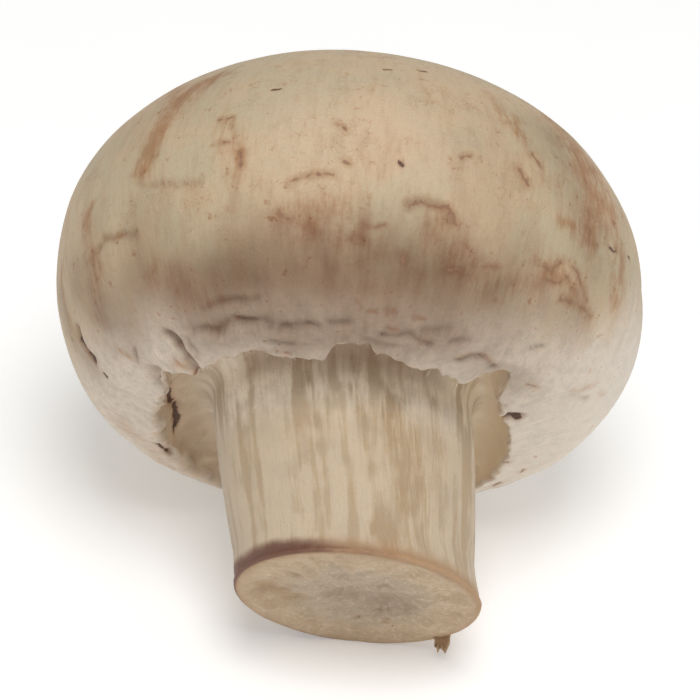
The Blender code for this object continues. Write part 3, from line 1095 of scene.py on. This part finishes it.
def stem_skin(finish, upright, strand, along, from_front):
    streaks = finish.noise(strand, 0.48, 3.0, 0.5)
    fine = finish.noise(strand, 2.2, 3.0, 0.6)
    clouds = finish.noise(upright, 0.35, 4.0, 0.6)
    tan = finish.step(streaks + (clouds - 0.5) * 0.3, 0.46, 0.62) * 0.60
    placed = finish.kept("streak", "Fac") * (1.0 + (fine - 0.5) * 2.0 + (clouds - 0.5) * 1.2)
    tan = finish.math("MAXIMUM", tan, finish.step(placed, 0.1, 0.8) * 0.85)
    # Painted light: the top of the stem, under the lip, is lightened against the lip's shadow
    pale = finish.mix(finish.step(along, STEM_TOP + 0.34, STEM_TOP + 0.04), STEM_PALE, STEM_PAINTED_LIGHT)
    skin = finish.mix(tan, pale, STEM_TAN)
    skin = finish.mix(finish.step(fine, 0.42, 0.72) * 0.22, skin, STEM_GREY)
    skin = finish.mix(finish.step(clouds, 0.45, 0.65) * 0.25, skin, STEM_GREY)
    leftmost = finish.step(from_front, -52.0, -84.0)
    skin = finish.mix(leftmost * 0.45, skin, STEM_GREY)
    # Painted shadow: a dark band on the front of the stem just under the lip
    frontal = finish.step(from_front, -62.0, -36.0) * finish.step(from_front, 58.0, 38.0)
    under_lip_shadow = frontal * finish.step(along + (clouds - 0.5) * 0.2, STEM_TOP + 0.06, STEM_TOP - 0.06)
    skin = finish.mix(under_lip_shadow * 0.6, skin, UNDER_LIP_SHADOW)
    low = along + (clouds - 0.5) * 0.05
    skin = finish.mix(finish.step(low, CUT_EDGE - 0.09, CUT_EDGE) * 0.85, skin, RIM_TAN)
    leftwards = finish.step(from_front + (clouds - 0.5) * 90.0, 22.0, -30.0)
    thicker = finish.step(from_front, -2.0, -40.0) * 0.045
    # The tuck above the cut, mostly on the left, is painted dark: a brown band, partly painted shade in
    # the hollow
    shaded_tuck = finish.step(low + thicker, CUT_EDGE - 0.05, CUT_EDGE + 0.01)
    shaded_tuck = shaded_tuck * finish.step(low, CUT_FACE, CUT_FACE - 0.35)
    return finish.mix(shaded_tuck * leftwards * 0.95, skin, RIM_DARK_AND_SHADE)


def cut_flesh(finish, upright, along):
    cloudy = finish.noise(upright, 0.45, 6.0, 0.70)
    flesh = finish.mix(finish.step(cloudy, 0.34, 0.66) * 0.35, CUT_PALE, CUT_TAN)
    middle = finish.step(along + (cloudy - 0.5) * 0.5, CUT_FACE + 0.22, CUT_FACE + 0.55)
    flesh = finish.mix(middle * 0.6, flesh, CUT_GREY)
    crumbs = finish.noise(upright, 2.0, 5.0, 0.75)
    flesh = finish.mix(finish.step(crumbs, 0.54, 0.66) * 0.45, flesh, CUT_TAN)
    flesh = finish.mix(finish.step(crumbs, 0.48, 0.34) * 0.42, flesh, CUT_LIGHT)
    flesh = finish.mix(finish.kept("rust", "Fac"), flesh, CUT_TAN)
    border = along + (cloudy - 0.5) * 0.4 + (crumbs - 0.5) * 0.2
    return finish.mix(finish.step(border, CUT_FACE + 0.08, CUT_FACE - 0.04) * 0.8, flesh, CUT_TAN)


def veiled(finish, upright, along, from_front, skin):
    """Adds the veil in the groove, and the fraying lip at the margin's edge."""
    on_veil = finish.step(along, EDGE - 0.3, EDGE + 0.2)
    veil_clouds = finish.noise(upright, 0.3, 3.0)
    veil = finish.mix(finish.step(veil_clouds, 0.35, 0.7), VEIL, VEIL_SHADED)
    # Painted light: the veil is made paler towards the right, where the pocket would otherwise lie in
    # shade
    veil = finish.mix(finish.step(from_front, 20.0, 70.0), veil, VEIL_PAINTED_LIGHT)
    skin = finish.mix(on_veil, skin, veil)
    on_lip = finish.step(along, MARGIN - 0.02, MARGIN + 0.3)
    on_lip = on_lip * finish.step(along, EDGE, EDGE - 0.25)
    frayed = finish.step(finish.noise(upright, 0.7, 3.0), 0.40, 0.62)
    return finish.mix(on_lip * frayed * 0.7, skin, LIP)


def scarred(finish, upright, skin):
    """Adds the scars and the darker pits, with ragged outlines and a rusty halo."""
    inputs = {"Vector": upright, "Scale": 0.7, "Detail": 2.0}
    wobble = finish.node("ShaderNodeTexNoise", {}, inputs, "Color")
    wobble = finish.vector("SUBTRACT", wobble, (0.5, 0.5, 0.5))
    wobbly = finish.vector("ADD", upright, finish.scaled(wobble, 1.2))
    crumbs = finish.noise(upright, 1.8, 4.0, 0.7)
    ragged = (crumbs - 0.5) * 2.4
    scars = strokes(finish, wobbly, SCARS) + ragged
    skin = finish.mix(finish.step(scars, -2.2, 0.6) * 0.5, skin, RUST_TINT, "MULTIPLY")
    skin = finish.mix(finish.step(scars, 0.0, 0.8) * 0.8, skin, SCAR)
    pits = strokes(finish, wobbly, PITS) + ragged * 0.5
    skin = finish.mix(finish.step(pits, -1.2, 0.4) * 0.45, skin, RUST_TINT, "MULTIPLY")
    return finish.mix(finish.step(pits, 0.0, 0.45) * 0.93, skin, PIT)


def fine_bumps(finish, upright, strand, along, on_cut):
    """Grain and fibres everywhere, and more of them on the margin and the cut."""
    grain = finish.noise(upright, 3.5, 6.0, 0.7)
    height = grain + finish.noise(strand, 2.6, 3.0, 0.65) * 0.7
    height = height + on_cut * finish.noise(upright, 1.1, 5.0, 0.65) * 7.0
    on_margin = finish.step(along, WIDEST + 0.5, WIDEST + 0.9)
    on_margin = on_margin * finish.step(along, EDGE, MARGIN)
    height = height + on_margin * finish.noise(strand, 1.3, 4.0, 0.6) * 3.5
    inputs = {"Strength": 0.5, "Distance": 0.0003, "Height": height}
    return finish.node("ShaderNodeBump", {}, inputs)


def mushroom_flesh():
    finish = Finish("mushroom_flesh")
    upright = finish.kept("upright", "Vector")
    strand = finish.kept("strand", "Vector")
    along = finish.kept("along", "Fac")
    from_front = finish.kept("from_front", "Fac")
    streaks = finish.noise(strand, 1.1, 4.0, 0.6)
    skin = cap_skin(finish, upright, strand, along, from_front, streaks)
    # Painted shade darkens the creases
    skin = finish.mix(finish.kept("crease_shade", "Fac") * 0.7, skin, CREASE_SHADE_TINT, "MULTIPLY")
    skin = veiled(finish, upright, along, from_front, skin)
    on_stem = finish.step(along, STEM_TOP - 0.6, STEM_TOP - 0.05)
    skin = finish.mix(on_stem, skin, stem_skin(finish, upright, strand, along, from_front))
    on_cut = finish.step(along, CUT_FACE - 0.1, CUT_FACE + 0.05)
    skin = finish.mix(on_cut, skin, cut_flesh(finish, upright, along))
    surface = {
        "Base Color": scarred(finish, upright, skin),
        "Roughness": 0.6,
        "Normal": fine_bumps(finish, upright, strand, along, on_cut),
        "Subsurface Weight": 0.15,
        "Subsurface Radius": (1.0, 0.6, 0.35),
        "Subsurface Scale": 0.0012,
    }
    shader = finish.node("ShaderNodeBsdfPrincipled", {}, surface)
    finish.node("ShaderNodeOutputMaterial", {}, {"Surface": shader})
    return finish.material


def small_piece_material(name, pale, dark, size):
    finish = Finish(name)
    where = finish.node("ShaderNodeTexCoord", {}, {}, "Object")
    cloudy = finish.noise(where, size, 4.0, 0.6)
    skin = finish.mix(finish.step(cloudy, 0.35, 0.65), pale, dark)
    bumps = finish.node("ShaderNodeBump", {}, {"Strength": 0.4, "Distance": 0.0002, "Height": cloudy})
    surface = {"Base Color": skin, "Roughness": 0.65, "Normal": bumps}
    shader = finish.node("ShaderNodeBsdfPrincipled", {}, surface)
    finish.node("ShaderNodeOutputMaterial", {}, {"Surface": shader})
    return finish.material


# Studio ------------------------------------------------------------------------------------


def floor_paint():
    finish = Finish("studio_floor")
    where = finish.node("ShaderNodeTexCoord", {}, {}, "Object")
    mottle = finish.noise(where, 60.0, 3.0)
    paint = finish.mix(mottle, colour(0.90, 0.90, 0.89), colour(0.92, 0.92, 0.91))
    glow = {"Emission Color": colour(1.0, 1.0, 1.0), "Emission Strength": 0.22}
    surface = {"Base Color": paint, "Roughness": 0.8} | glow
    shader = finish.node("ShaderNodeBsdfPrincipled", {}, surface)
    finish.node("ShaderNodeOutputMaterial", {}, {"Surface": shader})
    return finish.material


def floor():
    low, _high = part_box("mushroom")
    half = 1.5
    corners = [(-half, -half, 0), (half, -half, 0), (half, half, 0), (-half, half, 0)]
    mesh = bpy.data.meshes.new("floor")
    mesh.from_pydata(corners, [], [(0, 1, 2, 3)])
    mesh.materials.append(floor_paint())
    made = bpy.data.objects.new("floor", mesh)
    made.location.z = low[2]
    bpy.context.scene.collection.objects.link(made)


def soft_light(name, where, aim, size, power):
    lamp = bpy.data.lights.new(name, "AREA")
    lamp.shape = "DISK"
    lamp.size = size
    lamp.energy = power
    made = bpy.data.objects.new(name, lamp)
    made.location = where
    made.rotation_euler = (Vector(aim) - Vector(where)).to_track_quat("-Z", "Y").to_euler()
    bpy.context.scene.collection.objects.link(made)


def studio_light():
    world = bpy.data.worlds.new("studio")
    bpy.context.scene.world = world
    world.use_nodes = True
    backdrop = world.node_tree.nodes["Background"]
    backdrop.inputs["Color"].default_value = (1.0, 1.0, 1.0, 1.0)
    backdrop.inputs["Strength"].default_value = 0.45
    soft_light("sky_light", (0.04, -0.24, 0.58), (0.0, 0.0, 0.02), 0.32, 2.25)
    bpy.context.scene.view_settings.view_transform = "Standard"


VIEW_LOW_ANGLE = math.radians(24.0)
VIEW_ROLL = math.radians(3.3)
VIEW_DISTANCE = 400.0
VIEW_WIDTH = 67.0
AIM_BELOW_WIDEST = 6.3
AIM_RIGHT = 0.2


def camera():
    """Looks at the front from below the cap's widest ring, as the mushroom grew."""
    towards = np.array([0.0, -math.cos(VIEW_LOW_ANGLE), -math.sin(VIEW_LOW_ANGLE)])
    right = np.array([1.0, 0.0, 0.0])
    up = np.cross(towards, right)
    rolled_right = math.cos(VIEW_ROLL) * right + math.sin(VIEW_ROLL) * up
    rolled_up = -math.sin(VIEW_ROLL) * right + math.cos(VIEW_ROLL) * up
    target = np.array([0.0, 0.0, CAP_WIDEST_HEIGHT])
    eye = target + VIEW_DISTANCE * towards
    aim = target - AIM_BELOW_WIDEST * rolled_up + AIM_RIGHT * rolled_right
    back = (eye - aim) / np.linalg.norm(eye - aim)
    side = np.cross(rolled_up, back)
    side = side / np.linalg.norm(side)
    axes = Matrix([side, np.cross(back, side), back]).transposed()
    turned = LYING.to_3x3().normalized() @ axes
    lens = bpy.data.cameras.new("camera")
    lens.sensor_width = 36.0
    lens.lens = lens.sensor_width * VIEW_DISTANCE / VIEW_WIDTH
    lens.clip_start = 0.01
    made = bpy.data.objects.new("camera", lens)
    made.matrix_world = Matrix.Translation(LYING @ Vector(eye)) @ turned.to_4x4()
    bpy.context.scene.collection.objects.link(made)
    bpy.context.scene.camera = made


camera()
pieces = (
    (mushroom_body(), mushroom_flesh()),
    (veil_threads(), small_piece_material("veil_thread", LIP, COTTON, 900.0)),
    (cut_shred(), small_piece_material("browned_shred", CUT_TAN, RIM_TAN, 1200.0)),
)
for piece, material in pieces:
    piece.data.materials.append(material)
    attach(piece, "root")
    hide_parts("mushroom")
floor()
studio_light()
